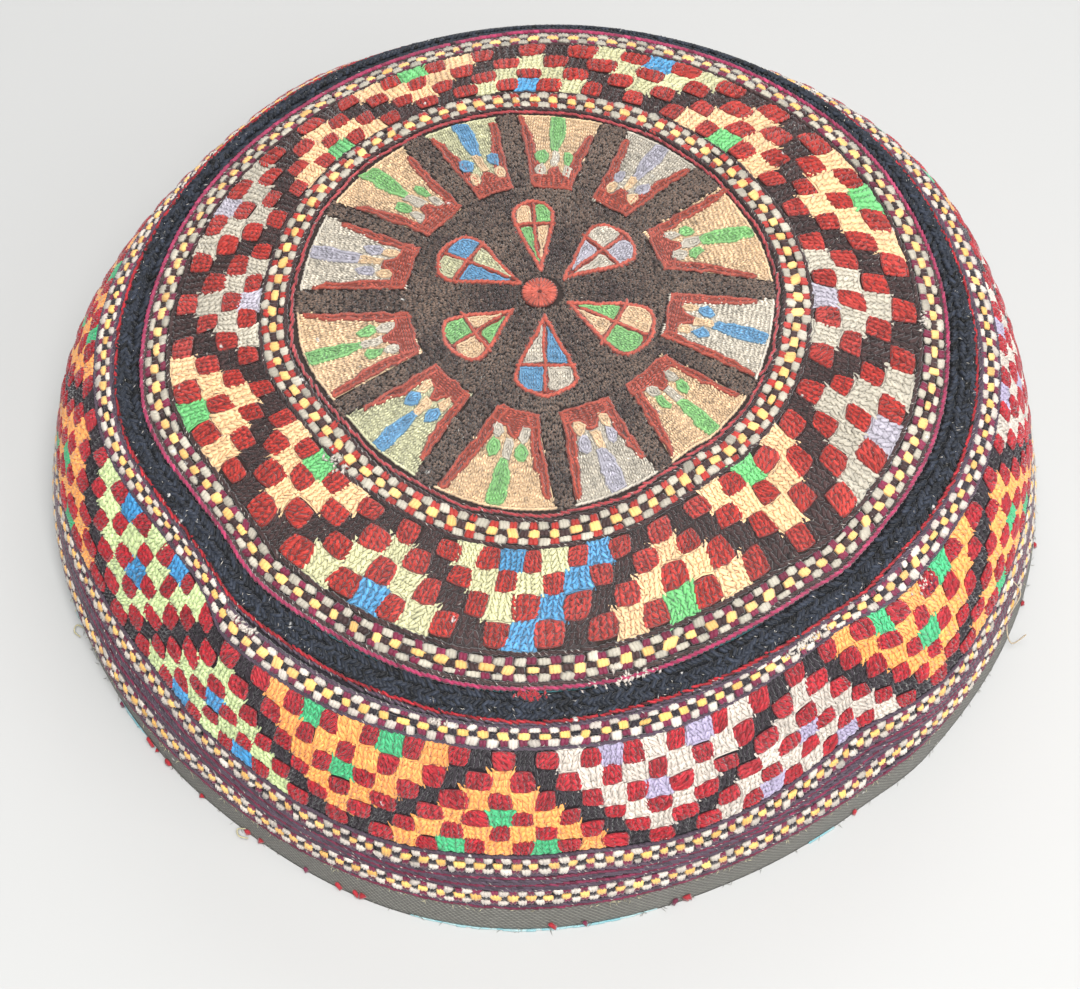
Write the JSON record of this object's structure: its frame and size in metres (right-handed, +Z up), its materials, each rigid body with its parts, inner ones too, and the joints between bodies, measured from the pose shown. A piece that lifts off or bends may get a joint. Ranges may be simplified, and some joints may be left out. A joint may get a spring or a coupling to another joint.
{
  "type": "embroidered tubeteika skullcap",
  "caption": "Low round skullcap with a domed crown, a flared wall with two soft creases, a plaited rim band, a taped hem and a cotton lining.",
  "frame": {"origin": "on the floor, below the middle of the cap's bounding box", "axes": "+Z up through the middle of the crown, -Y towards the front of the cap as the picture shows it"},
  "size_m": [0.1794, 0.1806, 0.0514],
  "materials": {
    "crown_embroidery": "chain-stitched cotton, many colours on faded brown",
    "black_braid": "close plaited bluish black thread with pale lint",
    "side_embroidery": "chain-stitched cotton, many colours on charcoal",
    "twill_tape": "grey cotton twill, frayed",
    "lining_cotton": "plain turquoise cotton"
  },
  "bodies": {
    "root": {"crown_panel": "crown_embroidery", "rim_braid": "black_braid", "side_panel": "side_embroidery", "hem_tape": "twill_tape", "lining": "lining_cotton"}
  },
  "joints": []
}
